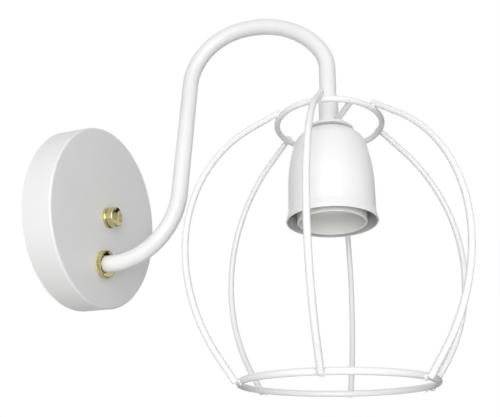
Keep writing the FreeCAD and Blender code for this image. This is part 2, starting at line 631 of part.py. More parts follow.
def side_contact():
    """Strip under the block, bent down inside its ring and out over the edge of the screw shell."""
    t = CONTACT_SHEET
    half = CONTACT_WIDTH / 2
    start_x = POLE_X - RIVET_R
    down_x = math.sqrt(FOOT_BORE_R ** 2 - half ** 2) - FIT_CLEAR
    edge_x = math.sqrt((SLEEVE_BORE_R + SLEEVE_SHEET) ** 2 - half ** 2) - FIT_CLEAR
    outline = [(start_x, SKIRT_TOP_Z), (down_x, SKIRT_TOP_Z), (down_x, FOOT_Z), (edge_x, FOOT_Z),
               (edge_x, FOOT_Z - t), (down_x - t, FOOT_Z - t), (down_x - t, SKIRT_TOP_Z - t),
               (start_x, SKIRT_TOP_Z - t), (start_x, SKIRT_TOP_Z)]
    flat = Part.makePolygon([V(x, -ARM_REACH - half, z) for x, z in outline])
    return Part.Face(flat).extrude(V(0, CONTACT_WIDTH, 0))


def tongue_pivot():
    """Point about which the centre tongue bends, just under the block beside its rivet."""
    return V(-POLE_X, -ARM_REACH, SKIRT_TOP_Z - TONGUE_ROOT_DROP)


def centre_contact():
    """Springy brass tongue that slopes down to the middle of the socket."""
    t = CONTACT_SHEET
    flat = TONGUE_LENGTH - TONGUE_TIP
    outline = rounded_outline([(0, 0, 0), (flat, 0, 0), (TONGUE_LENGTH, TONGUE_LIFT, 0),
                               (TONGUE_LENGTH, TONGUE_LIFT - t, 0), (flat, -t, 0), (0, -t, 0)],
                              lambda a, b: V(a, -CONTACT_WIDTH / 2, b))
    tongue = Part.Face(outline).extrude(V(0, CONTACT_WIDTH, 0))
    tongue.rotate(V(0, 0, 0), V(0, 1, 0), TONGUE_DROOP)
    tongue.translate(tongue_pivot())
    return tongue


# ---- cage ---------------------------------------------------------------------------------------------
def cage_hub():
    """Washer that is clamped between collar and cup and carries the cage."""
    bore_r = NIPPLE_R + RUN_CLEAR
    return turned_about_cup_axis([(bore_r, HUB_BOTTOM_Z, 0), (HUB_R, HUB_BOTTOM_Z, 0.3),
                                  (HUB_R, HUB_TOP_Z, 0.3), (bore_r, HUB_TOP_Z, 0)])


def wire_ring(radius, z):
    return Part.makeTorus(radius, WIRE_R, V(0, -ARM_REACH, z), V(0, 0, 1))


def top_ring():
    return wire_ring(TOP_RING_R, TOP_RING_Z)


def bottom_ring():
    return wire_ring(BOTTOM_RING_R, BOTTOM_RING_Z)


def flank(ring_r, ring_z):
    """Arc and straight from a rib's widest point to its weld on a ring, as points (r, z).

    The arc leaves the widest point upright. If it were the whole flank, it would pass the ring's
    wire at the distance SEAT for one radius R only, from (R - q)^2 + h^2 = (R - SEAT)^2. The arc
    drawn is a little tighter, and the straight is the outer tangent of that arc and of the seat
    circle round the ring's wire.
    """
    reach = CAGE_MAX_R - ring_r
    height = ring_z - CAGE_MAX_Z
    whole = (reach ** 2 + height ** 2 - SEAT ** 2) / (2 * (reach - SEAT))
    radius = FLANK_FULLNESS * whole
    centre = V(CAGE_MAX_R - radius, CAGE_MAX_Z, 0)
    to_ring = V(ring_r, ring_z, 0) - centre
    up = math.copysign(1, height)
    tilt = math.acos((radius - SEAT) / to_ring.Length)
    normal_at = up * (math.atan2(abs(to_ring.y), to_ring.x) - tilt)
    normal = V(math.cos(normal_at), math.sin(normal_at), 0)
    half = V(math.cos(normal_at / 2), math.sin(normal_at / 2), 0)
    along = V(-up * normal.y, up * normal.x, 0)
    return {"arc_middle": centre + half * radius, "arc_end": centre + normal * radius,
            "weld": V(ring_r, ring_z, 0) + normal * SEAT, "along": along}


def rib(angle, tail):
    """One wire from past the top ring, round the widest point, to just past the bottom ring."""
    upper, lower = flank(TOP_RING_R, TOP_RING_Z), flank(BOTTOM_RING_R, BOTTOM_RING_Z)
    widest = V(CAGE_MAX_R, CAGE_MAX_Z, 0)
    top_end = upper["weld"] + upper["along"] * tail
    foot_end = lower["weld"] + lower["along"] * RIB_FOOT

    def upright(point):
        return V(point.x, 0, point.y)

    path = [Part.makeLine(upright(top_end), upright(upper["arc_end"])),
            Part.Arc(*map(upright, (upper["arc_end"], upper["arc_middle"], widest))).toShape(),
            Part.Arc(*map(upright, (widest, lower["arc_middle"], lower["arc_end"]))).toShape(),
            Part.makeLine(upright(lower["arc_end"]), upright(foot_end))]
    wire = swept_round(path, WIRE_R)
    wire.rotate(V(0, 0, 0), V(0, 0, 1), angle)
    wire.translate(V(0, -ARM_REACH, 0))
    return wire.cut(top_ring()).cut(bottom_ring())


def spoke(angle):
    """Straight wire from the top ring's inner side down on to the hub, saddled to both."""
    outer = V(TOP_RING_R - WIRE_R + 2 * WELD_SINK, 0, TOP_RING_Z)
    inner = V(SPOKE_INNER_R, 0, HUB_TOP_Z + SPOKE_RISE)
    wire = Part.makeCylinder(WIRE_R, (outer - inner).Length, inner, outer - inner)
    wire.rotate(V(0, 0, 0), V(0, 0, 1), angle)
    wire.translate(V(0, -ARM_REACH, 0))
    hub_space = Part.makeCylinder(HUB_R, HUB_SHEET, V(0, -ARM_REACH, HUB_BOTTOM_Z))
    return wire.cut(top_ring()).cut(hub_space)


# ---- write every piece ------------------------------------------------------------------------------
def pieces():
    made = {
        "wall_bracket": wall_bracket(), "fixing_stud": fixing_stud(), "stud_nut": stud_nut(),
        "canopy": canopy(), "cap_washer": cap_washer(), "cap_nut": cap_nut(),
        "arm_tube": arm_tube(), "arm_ring_nut": arm_ring_nut(), "arm_washer": arm_washer(),
        "arm_lock_nut": arm_lock_nut(), "tail_bush": tail_bush(), "live_lead": lead(-1),
        "neutral_lead": lead(1), "terminal_block": terminal_block(),
        "terminal_screws": terminal_screws(), "tube_collar": tube_collar(),
        "threaded_nipple": threaded_nipple(), "lamp_cup": lamp_cup(), "cup_lock_nut": cup_lock_nut(),
        "holder_cap": holder_cap(), "holder_skirt": holder_skirt(), "thread_sleeve": thread_sleeve(),
        "holder_block": holder_block(), "holder_terminals": holder_terminals(),
        "holder_screws": holder_screws(), "side_contact": side_contact(),
        "centre_contact": centre_contact(), "cage_hub": cage_hub(), "top_ring": top_ring(),
        "bottom_ring": bottom_ring(), "spoke_1": spoke(SPOKE_TURN), "spoke_2": spoke(SPOKE_TURN + 180),
    }
    for i in range(RIB_COUNT):
        tail = FRONT_RIB_TAIL if i == 0 else RIB_TAIL
        made["rib_%d" % (i + 1)] = rib(CAGE_TURN + i * 360 / RIB_COUNT, tail)
    return made


os.makedirs("parts", exist_ok=True)
for name, shape in pieces().items():
    shape.exportStep(os.path.join("parts", name + ".step"))
    print("%-18s %d solid(s), %9.1f mm3, valid %s"
          % (name, len(shape.Solids), shape.Volume, shape.isValid()))
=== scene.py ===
# %% [markdown]
# # A cage wall light
# A round canopy sits on the wall. A bent tube grows out of it, arches over and carries a bell cup
# with a screw lampholder, and an open cage of welded wire hangs round the lamp. Nearly everything
# is steel under white powder coat, so the picture lives on shape, on soft light and on a few small
# bright accents: two brass nuts on the canopy.
#
# The constructed model is already there, as a frame. This lesson keeps its places and sizes, gives
# every piece a finish, and builds finer pieces over those that show most.
# All sizes below are in millimetres; +Z is up, the wall is the plane y = 0 and the light stands
# out towards -Y.

import json

import bmesh
import bpy
import numpy as np
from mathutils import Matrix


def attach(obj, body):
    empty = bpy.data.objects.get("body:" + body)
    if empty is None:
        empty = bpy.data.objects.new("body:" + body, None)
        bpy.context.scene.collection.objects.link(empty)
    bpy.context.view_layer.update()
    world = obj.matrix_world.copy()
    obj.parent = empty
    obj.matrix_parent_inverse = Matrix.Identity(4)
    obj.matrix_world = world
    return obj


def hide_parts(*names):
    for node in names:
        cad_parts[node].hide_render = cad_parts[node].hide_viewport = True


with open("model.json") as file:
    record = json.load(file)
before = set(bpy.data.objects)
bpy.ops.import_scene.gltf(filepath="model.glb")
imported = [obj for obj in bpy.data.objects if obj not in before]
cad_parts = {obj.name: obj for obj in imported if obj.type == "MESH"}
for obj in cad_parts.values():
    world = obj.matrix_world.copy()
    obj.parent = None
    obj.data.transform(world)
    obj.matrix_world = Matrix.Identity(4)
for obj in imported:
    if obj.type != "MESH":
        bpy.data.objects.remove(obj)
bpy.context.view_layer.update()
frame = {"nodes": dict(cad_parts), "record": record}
print("nodes in the frame:", len(frame["nodes"]))

# %% [markdown]
# ## The camera
# The photograph was taken from below and from the side, with the camera not far from the object,
# so the near wires of the cage look larger than the far ones. The viewpoint was found by fitting a
# pinhole camera to points of the canopy, arm, cup and cage. Its numbers are a place, two angles, a
# focal length and a small shift, because the photograph was cropped a little off its middle.

# %% Camera
FOCAL_PIXELS = 641.8
PICTURE = np.array([500, 417])
MIDDLE = np.array([279.5, 196.6])          # pixel that the lens axis goes through
PLACE = np.array([-319.0, -235.7, -140.1])
AZIMUTH, ELEVATION = np.radians([-71.64, -22.56])

lens = bpy.data.cameras.new("camera")
lens.sensor_width = 36.0
lens.lens = FOCAL_PIXELS * lens.sensor_width / PICTURE[0]
lens.shift_x, lens.shift_y = (PICTURE / 2 - MIDDLE) * [1, -1] / PICTURE[0]
lens.clip_start = 0.01
camera = bpy.data.objects.new("camera", lens)
bpy.context.scene.collection.objects.link(camera)
bpy.context.scene.camera = camera
camera.location = PLACE / 1000
camera.rotation_euler = (np.pi / 2 - ELEVATION, 0, AZIMUTH)
print("lens %.1f mm, shift %.3f, %.3f" % (lens.lens, lens.shift_x, lens.shift_y))

# %% [markdown]
# ## Colours and nodes
# Colours are written the way paint charts and screens write them, as sRGB hex. Shaders want linear
# light, so one function converts. A second small function adds any node with its settings and
# links, which keeps each material short enough to read.

# %% Helpers for materials
def linear(hex_colour):
    """sRGB hex to linear RGBA: divide by 12.92 below 0.04045, else ((c + 0.055) / 1.055) ** 2.4."""
    c = np.array([int(hex_colour[i:i + 2], 16) for i in (1, 3, 5)]) / 255
    c = np.where(c <= 0.04045, c / 12.92, ((c + 0.055) / 1.055) ** 2.4)
    return (*c.tolist(), 1.0)


def add(tree, kind, settings=None, **inputs):
    """Add a node. Settings are its own properties; inputs are sockets, by name or by number.

    An input that is itself a socket gets linked, and any other value is set.
    """
    node = tree.nodes.new("ShaderNode" + kind)
    for key, value in (settings or {}).items():
        setattr(node, key, value)
    for key, value in inputs.items():
        socket = node.inputs[int(key[1:])] if key[0] == "n" and key[1:].isdigit() \
            else node.inputs[key.replace("_", " ")]
        if isinstance(value, bpy.types.NodeSocket):
            tree.links.new(value, socket)
        else:
            socket.default_value = value
    return node


def new_material(name):
    """An empty node material with its surface shader and the object's own coordinates."""
    material = bpy.data.materials.new(name)
    material.use_nodes = True
    tree = material.node_tree
    tree.nodes.clear()
    shader = add(tree, "BsdfPrincipled")
    output = add(tree, "OutputMaterial")
    tree.links.new(shader.outputs[0], output.inputs["Surface"])
    place = add(tree, "TexCoord").outputs["Object"]
    return material, tree, shader, place


def per_mm(size):
    """Scale of a noise texture in metres whose features are about this many millimetres wide."""
    return 1000.0 / size


# %% [markdown]
# ## Powder coat
# Paint is sprayed on as dry powder and melted in an oven. It flows out to a smooth skin, but not to
# glass: an orange peel about 1.6 mm wide stays, over a slower wave of 9 mm, and they give highlights
# a soft, slightly crawling edge. Over 30 mm the film's thickness changes its tint and gloss a little.
# White is never pure: #E8E8E8 to #ECECEC leave room for light above them. The peel could be
# modelled, but a bump of a tenth of a millimetre shows the same and keeps the meshes light.
#
# Both ends of the gloss stay above a roughness of 0.27. A range across it drew faint contour lines
# on the canopy in the denoised picture.

# %% Powder-coated steel
def powder_coated_steel(name):
    """White powder coat. To the eye: an even white with soft, slightly restless highlights."""
    material, tree, shader, place = new_material(name)
    film = add(tree, "TexNoise", Vector=place, Scale=per_mm(30), Detail=2.0)
    tint = add(tree, "MapRange", {"interpolation_type": "SMOOTHSTEP"}, Value=film.outputs["Fac"],
               n1=0.15, n2=0.85, n3=0.0, n4=1.0)
    colour = add(tree, "Mix", {"data_type": "RGBA"}, Factor=tint.outputs[0],
                 n6=linear("#E8E8E8"), n7=linear("#ECECEC"))
    tree.links.new(colour.outputs[2], shader.inputs["Base Color"])
    gloss = add(tree, "MapRange", {"interpolation_type": "SMOOTHSTEP"}, Value=film.outputs["Fac"],
                n1=0.15, n2=0.85, n3=0.285, n4=0.36)
    tree.links.new(gloss.outputs[0], shader.inputs["Roughness"])
    peel = add(tree, "TexNoise", Vector=place, Scale=per_mm(1.6), Detail=1.0)
    flow = add(tree, "TexNoise", Vector=place, Scale=per_mm(9.0), Detail=0.0)
    wavy = add(tree, "Bump", Strength=0.5, Distance=0.00012, Height=flow.outputs["Fac"])
    bump = add(tree, "Bump", Strength=0.25, Distance=0.0001, Height=peel.outputs["Fac"],
               Normal=wavy.outputs[0])
    tree.links.new(bump.outputs[0], shader.inputs["Normal"])
    shader.inputs["IOR"].default_value = 1.5
    return material, tree, shader, place, colour


def painted_shade_inside(made):
    """Greys the surfaces that look towards the cup's axis: painted shade on the inside of the cup.

    The test is normal . outward, with outward = (x, y + 160 mm, 0) made a unit length.
    """
    material, tree, shader, place, colour = made
    from_axis = add(tree, "VectorMath", {"operation": "ADD"}, n0=place, n1=(0, 0.160, 0))
    level = add(tree, "VectorMath", {"operation": "MULTIPLY"}, n0=from_axis.outputs[0], n1=(1, 1, 0))
    outward = add(tree, "VectorMath", {"operation": "NORMALIZE"}, n0=level.outputs[0])
    normal = add(tree, "TexCoord").outputs["Normal"]
    facing = add(tree, "VectorMath", {"operation": "DOT_PRODUCT"}, n0=normal, n1=outward.outputs[0])
    inner = add(tree, "MapRange", Value=facing.outputs["Value"], n1=-0.35, n2=-0.75, n3=0.0, n4=1.0)
    mixed = add(tree, "Mix", {"data_type": "RGBA"}, Factor=inner.outputs[0],
                n6=colour.outputs[2], n7=linear("#C6C7C6"))
    tree.links.new(mixed.outputs[2], shader.inputs["Base Color"])
    return material


# %% [markdown]
# ## Brass, zinc and the rest
# Turned brass keeps fine rings from the lathe. Lacquer keeps it bright, with a hint of green in its
# yellow, and lies over it as a clear coat with a sharp gloss of its own. The hidden fixings are zinc
# plated, which is a cold grey with a cloudy, slightly crystalline gloss. Mouldings (holder,
# connector, bush, lead insulation) are plastics or ceramic: no metal, one colour, and a gloss that
# follows the mould. They could each have nodes of their own; two functions serve them all, because
# only colours, gloss and grain differ.

# %% Metals and mouldings
def metal(name, dark, light, low, high, grain_mm, depth, stretch=(1, 1, 1)):
    """A bare metal: two close colours and two roughness values mixed by one stretched noise."""
    material, tree, shader, place = new_material(name)
    aimed = add(tree, "Mapping", Vector=place, Scale=stretch)
    grain = add(tree, "TexNoise", Vector=aimed.outputs[0], Scale=per_mm(grain_mm), Detail=3.0)
    cloud = add(tree, "TexNoise", Vector=place, Scale=per_mm(4.0), Detail=2.0)
    colour = add(tree, "Mix", {"data_type": "RGBA"}, Factor=cloud.outputs["Fac"],
                 n6=linear(dark), n7=linear(light))
    tree.links.new(colour.outputs[2], shader.inputs["Base Color"])
    rough = add(tree, "MapRange", Value=grain.outputs["Fac"], n1=0.3, n2=0.7, n3=low, n4=high)
    tree.links.new(rough.outputs[0], shader.inputs["Roughness"])
    bump = add(tree, "Bump", Strength=0.3, Distance=depth / 1000, Height=grain.outputs["Fac"])
    tree.links.new(bump.outputs[0], shader.inputs["Normal"])
    shader.inputs["Metallic"].default_value = 1.0
    return material


def moulding(name, dark, light, low, high, grain_mm, depth, ior=1.5):
    """A moulded or fired piece: nearly one colour, gloss and fine bump from one noise."""
    material, tree, shader, place = new_material(name)
    grain = add(tree, "TexNoise", Vector=place, Scale=per_mm(grain_mm), Detail=3.0)
    cloud = add(tree, "TexNoise", Vector=place, Scale=per_mm(9.0), Detail=2.0)
    colour = add(tree, "Mix", {"data_type": "RGBA"}, Factor=cloud.outputs["Fac"],
                 n6=linear(dark), n7=linear(light))
    tree.links.new(colour.outputs[2], shader.inputs["Base Color"])
    rough = add(tree, "MapRange", Value=cloud.outputs["Fac"], n1=0.3, n2=0.7, n3=low, n4=high)
    tree.links.new(rough.outputs[0], shader.inputs["Roughness"])
    bump = add(tree, "Bump", Strength=0.2, Distance=depth / 1000, Height=grain.outputs["Fac"])
    tree.links.new(bump.outputs[0], shader.inputs["Normal"])
    shader.inputs["IOR"].default_value = ior
    return material


POWDER = powder_coated_steel("powder_coated_steel")[0]
# Painted shade: the inside of the cup is greyed where its surfaces face the cup's axis.
CUP_POWDER_SHADED = painted_shade_inside(powder_coated_steel("powder_coat_painted_shade_inside"))
# Bright yellow with sharp glints. Real tool marks are finer than 0.1 mm: 0.25 mm is drawn to show.
BRASS = metal("lacquered_turned_brass", "#BDB27A", "#DDD5A2", 0.09, 0.20, 0.25, 0.010,
              (1, 12, 1))
LACQUER = {"Coat Weight": 0.8, "Coat Roughness": 0.08}
for name, value in LACQUER.items():
    BRASS.node_tree.nodes["Principled BSDF"].inputs[name].default_value = value
# Bare cut brass: duller and browner than the lacquered nuts.
BRASS_THREAD = metal("cut_brass_thread", "#A98A45", "#C2A257", 0.28, 0.38, 0.3, 0.006)
# Rolled sheet: an even satin yellow.
DRAWN_BRASS = metal("drawn_sheet_brass", "#B8924A", "#CBA75E", 0.28, 0.38, 0.4, 0.010)
# Nickel over thin sheet: a grey, cloudy gloss.
DULL_NICKEL = metal("nickel_plated_shell", "#A9A9A6", "#BDBDBA", 0.30, 0.42, 0.5, 0.010)
# Zinc: cold grey, mottled.
ZINC = metal("zinc_plated_steel", "#9DA0A3", "#B6B9BC", 0.28, 0.45, 0.5, 0.012)
# Pressed resin: a smooth white, a touch warmer than the powder coat.
THERMOSET = moulding("white_thermoset", "#E6E6E4", "#ECECEA", 0.29, 0.37, 0.6, 0.010)
# Unglazed ceramic: a dry, chalky cream.
STEATITE = moulding("steatite_ceramic", "#D9D2C0", "#E2DCCC", 0.50, 0.65, 0.35, 0.030, 1.6)
# Two nylons: the black one is a dull shadow, the natural one waxy.
NYLON_BLACK = moulding("black_nylon", "#141414", "#1E1E1E", 0.35, 0.50, 0.5, 0.020)
NYLON_CLEAR = moulding("natural_nylon", "#D2D0C4", "#DCDAD0", 0.35, 0.45, 0.6, 0.015)
# Soft vinyl round the leads: strong colour under a low, even gloss.
BROWN_VINYL = moulding("brown_insulation", "#3E2416", "#4A2C1C", 0.35, 0.48, 0.4, 0.012)
BLUE_VINYL = moulding("blue_insulation", "#1E4B95", "#2757A4", 0.35, 0.48, 0.4, 0.012)
print("materials:", len(bpy.data.materials))

# %% [markdown]
# ## Giving the frame its finishes
# The record names a finish for every node. One table turns those names into materials, and a loop
# hands them out. Setting them by hand would be as good, but would miss a node sooner or later.

# %% Finish of each node
FINISH = {
    "powder_coat": POWDER, "zinc_steel": ZINC, "polished_brass": BRASS,
    "contact_brass": DRAWN_BRASS, "shell_plating": DULL_NICKEL, "holder_white": THERMOSET,
    "steatite": STEATITE, "bush_plastic": NYLON_BLACK, "connector_plastic": NYLON_CLEAR,
    "live_insulation": BROWN_VINYL, "neutral_insulation": BLUE_VINYL,
}
for part in frame["record"]["subparts"]:
    node = frame["nodes"][part["node"]]
    node.data.materials.clear()
    node.data.materials.append(FINISH[part["material_slot"]])

# %% [markdown]
# ## Shapes as arrays
# Every finer piece below is a table of points with rows and columns. Columns run once round the
# piece and close on themselves. Rows run along it; they either close too, as on a ring with a
# hollow, or end in a point. Numpy works out a whole table at once, and one function turns tables
# into a mesh.

# %% From tables of points to a piece
def skin(name, tables, finish, body, stands_for=(), rows_close=True, sharp=40):
    """Mesh over tables of points (rows, columns, 3) in millimetres.

    Point (i, j) is joined to (i, j + 1), (i + 1, j + 1) and (i + 1, j) by one square face. Points
    that fall together, as at the end of a wire, are merged, and normals are turned outwards.
    """
    points, squares, count = [], [], 0
    for table in tables:
        rows, columns = table.shape[:2]
        i = np.arange(rows if rows_close else rows - 1)[:, None]
        j = np.arange(columns)[None, :]
        corners = np.broadcast_arrays(i * columns + j, i * columns + (j + 1) % columns,
                                      (i + 1) % rows * columns + (j + 1) % columns,
                                      (i + 1) % rows * columns + j)
        squares.append(np.stack(corners, -1).reshape(-1, 4) + count)
        points.append(table.reshape(-1, 3) / 1000)
        count += rows * columns
    mesh = bpy.data.meshes.new(name)
    mesh.from_pydata(np.concatenate(points), [], np.concatenate(squares))
    work = bmesh.new()
    work.from_mesh(mesh)
    bmesh.ops.remove_doubles(work, verts=work.verts, dist=2e-7)
    bmesh.ops.recalc_face_normals(work, faces=work.faces)
    work.to_mesh(mesh)
    work.free()
    mesh.shade_smooth()
    mesh.set_sharp_from_angle(angle=np.radians(sharp))
    mesh.materials.append(finish)
    piece = bpy.data.objects.new(name, mesh)
    bpy.context.scene.collection.objects.link(piece)
    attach(piece, body)
    if stands_for:
        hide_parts(*stands_for)
    print("%-18s %6d faces" % (name, len(mesh.polygons)))
    return piece


def rounded(corners, steps=6):
    """Closed outline through corners (a, b, radius), each corner eased by a tangent arc.

    The arc's centre lies on the corner's bisector at radius / sin(half the corner's angle), and the
    arc starts and ends at radius / tan(half the angle) from the corner.
    """
    plain = np.array([corner[:2] for corner in corners], float)
    out = []
    for here, (_, _, radius), before, after in zip(plain, corners, np.roll(plain, 1, 0),
                                                   np.roll(plain, -1, 0)):
        if radius == 0:
            out.append(here[None])
            continue
        u, v = [(p - here) / np.linalg.norm(p - here)
                for p in (before, after)]
        half = np.arccos(np.clip(u @ v, -1, 1)) / 2
        centre = here + (u + v) / np.linalg.norm(u + v) * radius / np.sin(half)
        first = here + u * radius / np.tan(half) - centre
        last = here + v * radius / np.tan(half) - centre
        start = np.arctan2(first[1], first[0])
        turn = (np.arctan2(last[1], last[0]) - start + np.pi) % (2 * np.pi) - np.pi
        angle = start + turn * np.linspace(0, 1, steps + 1)
        out.append(centre + radius * np.stack([np.cos(angle), np.sin(angle)], -1))
    return np.concatenate(out)


def filled_in(outline, longest):
    """The same closed outline with extra points, so that no step is longer than this."""
    ends = np.roll(outline, -1, 0)
    counts = np.maximum(1, np.ceil(np.linalg.norm(ends - outline, axis=1) / longest)).astype(int)
    return np.concatenate([a + (b - a) * np.linspace(0, 1, n, endpoint=False)[:, None]
                           for a, b, n in zip(outline, ends, counts)])


X, Y, Z = np.eye(3)
ARM_FOOT = -30.0 * Z                       # where the arm goes through the canopy
CUP_AXIS = -160.0 * Y                      # cup, lampholder and cage share this upright axis


def turned(outline, centre, axis, columns=128, relief=None):
    """Table of a closed outline (radius, height) turned about an axis.

    A point is centre + height * axis + radius * (cos t * u + sin t * v), where u, v and the axis
    are square to each other. A relief, worked out from radius, height and t, is added to the
    radius.
    """
    u, v = (X, Y) if axis[2] else (Z, X)
    t = np.linspace(0, 2 * np.pi, columns, endpoint=False)[None, :]
    radius, height = outline[:, :1], outline[:, 1:]
    if relief is not None:
        radius = radius + relief(radius, height, t)
    radius, height, t = np.broadcast_arrays(radius, height, t)
    spoke = np.cos(t)[..., None] * u + np.sin(t)[..., None] * v
    return centre + height[..., None] * axis + radius[..., None] * spoke


def thread(inside, low, high, pitch, depth):
    """Relief of a right-hand screw thread on every surface outside one radius.

    The groove is deepest where height / pitch - t / (2 pi) is whole, and it fades out over one
    pitch at both ends.
    """
    def relief(radius, height, t):
        groove = np.clip(1.25 * np.abs(2 * ((height / pitch - t / (2 * np.pi)) % 1) - 1) - 0.12, 0, 1)
        fade = np.clip(np.minimum(height - low, high - height) / pitch, 0, 1)
        return -depth * groove * fade * (radius > inside)
    return relief


# %% [markdown]
# ## The brass on the canopy
# Two brass pieces hold everything to the wall, and they are the only colour in the picture. The cap
# nut stands on a washer, has a waist that leaves a dark ring, and its front is dished like a lens.
# Edges are broken by a few tenths of a millimetre, because that is where polished metal catches the
# light. A lathe makes such pieces from an outline, and so does this cell.
#
# The nut's foot is drawn 0.02 mm off the washer. With both faces in one plane, the test for clashes
# listed the two as cutting into each other.

# %% Washer, cap nut and stud
FACE = -18.5                               # front of the canopy
skin("cap_washer_turned",
     [turned(rounded([(3.1, FACE, 0), (6.6, FACE, 0.3), (6.6, -19.9, 0.5), (3.1, -19.9, 0.1)]),
             0 * Y, Y, 160)],
     BRASS, "cap_washer", ["cap_washer"])
skin("cap_nut_turned",
     [turned(rounded([(3.1, -19.92, 0.1), (5.8, -19.92, 0.1), (5.8, -20.6, 0.3), (6.25, -20.6, 0.45),
                      (6.25, -24.8, 0.6), (5.5, -24.8, 0.12), (3.4, -23.3, 3.0), (0.01, -23.3, 0),
                      (0.01, -22.6, 0), (3.1, -22.6, 0)], 8), 0 * Y, Y, 160)],
     BRASS, "cap_nut", ["cap_nut"])
stud = filled_in(rounded([(0.01, 0, 0), (5.0, 0, 0.15), (5.0, -0.8, 0), (3.0, -0.8, 0),
                          (3.0, -22.3, 0.3), (0.01, -22.3, 0)]), 0.16)
skin("fixing_stud_cut", [turned(stud, 0 * Y, Y, 64, thread(2.9, -22.2, -2.0, 1.0, 0.32))],
     ZINC, "wall_side", ["fixing_stud"])

# %% [markdown]
# ## The ring nut
# The ring nut round the arm is thin. Its front slopes in to the tube, and its edge is cut all round
# with fine straight teeth for the fingers. The teeth could be an array of small cuts; as a wave
# added to the radius they need no cutting, and they fade out near both faces as a knurl does.

# %% Knurled ring nut
TEETH = 44


def knurl(radius, height, t):
    """Straight teeth on the edge: |sin(TEETH t / 2)| deep, fading near both faces."""
    fade = np.clip(np.minimum(height + 21.6, -18.7 - height) / 0.3, 0, 1)
    return -0.45 * (1 - np.abs(np.sin(TEETH * t / 2))) * fade * (radius > 8.1)


ring_nut = filled_in(rounded([(5.05, FACE, 0), (8.4, FACE, 0.25), (8.4, -21.7, 0.3),
                              (7.9, -21.7, 0.15), (7.2, -20.6, 2.0), (5.05, -20.1, 0)]), 0.3)
skin("arm_ring_nut_cut", [turned(ring_nut, ARM_FOOT, Y, 8 * TEETH, knurl)],
     BRASS, "arm", ["arm_ring_nut"])

# %% [markdown]
# ## The arm
# One tube, bent in one plane. Its centre line is a chain of straight runs and arcs: out of the
# canopy, a tight bend up, a rise that leans away from the wall, then an arch of three arcs that
# comes down on the axis of the cup. The arch keeps the proportions of its arcs; their scale and the
# length of the rise follow from the height of the arch and from its reach. The tail behind the
# canopy is bare and threaded, and the powder coat begins inside the ring nut.

# %% Centre line of the arm
REACH, TOP, TUBE_END = 160.0, 120.2, 49.8
LEAN = 2.2                                 # degrees
LOWER_BEND, COAT_START = 41.5, -20.5
ARCH = np.array([36.0, 56.0, 28.5])
HEADINGS = np.radians([90 + LEAN, 170 + LEAN, 237 + LEAN, 270])
sine, cosine = np.sin(HEADINGS), np.cos(HEADINGS)
arch_y = ARCH @ np.diff(sine)
arch_rise = ARCH[0] * (cosine[0] - cosine[1]) + ARCH[1] * (cosine[1] + 1)
arch_fall = ARCH[1] * (1 + cosine[2]) - ARCH[2] * (cosine[2] - cosine[3])
foot_turn = np.radians(90 - LEAN)
foot = np.array([FACE - 6.5 - LOWER_BEND * np.sin(foot_turn),
                 -30 + LOWER_BEND * (1 - np.cos(foot_turn))])
away = np.array([-np.sin(np.radians(LEAN)), np.cos(np.radians(LEAN))])
span, height = -REACH - foot[0], TOP - foot[1]
arch_scale = (span * away[1] - height * away[0]) / (arch_y * away[1] - arch_rise * away[0])
rise = (height - arch_scale * arch_rise) / away[1]
print("arch scale %.3f, straight rise %.1f mm" % (arch_scale, rise))


def traced(start, heading, moves, step):
    """Points of a flat path of runs (length, 0) and arcs (radius, turn in degrees)."""
    here, out = np.array(start, float), [np.array([start], float)]
    for size, turn in moves:
        if turn == 0:
            share = np.linspace(0, 1, max(2, int(size / step)) + 1)[1:, None]
            way = np.array([np.cos(np.radians(heading)), np.sin(np.radians(heading))])
            out.append(here + share * size * way)
        else:
            side = np.sign(turn) * 90
            out_of = np.radians(heading - side)
            centre = here - size * np.array([np.cos(out_of), np.sin(out_of)])
            count = max(4, int(size * abs(np.radians(turn)) / step))
            spoke = out_of + np.radians(turn) * np.linspace(0, 1, count + 1)[1:]
            out.append(centre + size * np.stack([np.cos(spoke), np.sin(spoke)], -1))
            heading += turn
        here = out[-1][-1]
    return np.concatenate(out)


moves = [(COAT_START - FACE + 6.5, 0), (LOWER_BEND, -(90 - LEAN)), (rise, 0)]
moves += list(zip(arch_scale * ARCH, np.degrees(np.diff(HEADINGS))))
moves += [(TOP - arch_scale * arch_fall - TUBE_END, 0)]
arm_path = traced((COAT_START, -30), 180, moves, 1.6)
arm_line = np.insert(arm_path, 0, 0, axis=1)
print("arm ends at y %.2f, z %.2f" % tuple(arm_path[-1]))

# %% [markdown]
# ## The tube along its line
# The tube is drawn as two walls, 5 and 4 mm from the line, joined at both ends. A bevelled curve
# would be quicker, but it gives one wall only, and a tube has two.

# %% Tube
def swept(path, side, radius, columns):
    """Table of a round bar along a flat path.

    The ring at a path point is radius * (cos t * side + sin t * normal). side is square to the
    plane of the path, and normal is side x tangent.
    """
    tangent = np.gradient(path, axis=0)
    tangent /= np.linalg.norm(tangent, axis=1, keepdims=True)
    normal = np.cross(side, tangent)[:, None]
    t = np.linspace(0, 2 * np.pi, columns, endpoint=False)[None, :, None]
    radius = np.broadcast_to(radius, len(path))[:, None, None]
    return path[:, None] + radius * (np.cos(t) * side + np.sin(t) * normal)


skin("arm_tube_bent",
     [np.concatenate([swept(arm_line, X, 5.0, 72), swept(arm_line, X, 4.0, 72)[::-1]])],
     POWDER, "arm", ["arm_tube"])
tail = filled_in(rounded([(4.0, -11.5, 0.2), (4.95, -11.5, 0.3), (4.95, -20.7, 0), (4.0, -20.7, 0)]),
                 0.14)
skin("arm_tail_thread", [turned(tail, ARM_FOOT, Y, 72, thread(4.9, -21.5, -11.8, 1.0, 0.38))],
     BRASS_THREAD, "arm")

# %% [markdown]
# ## Collar, cup and nipple
# The collar joins the arm to a threaded nipple. Under it come the hub of the cage, the cup and, out
# of sight, a lock nut and the neck of the lampholder. The cup is spun from thin sheet: a flat top
# with a low boss that leaves a dark slit under the hub, a round shoulder, a side that is nearly
# straight, and a lip that flares and is rounded over at its edge.

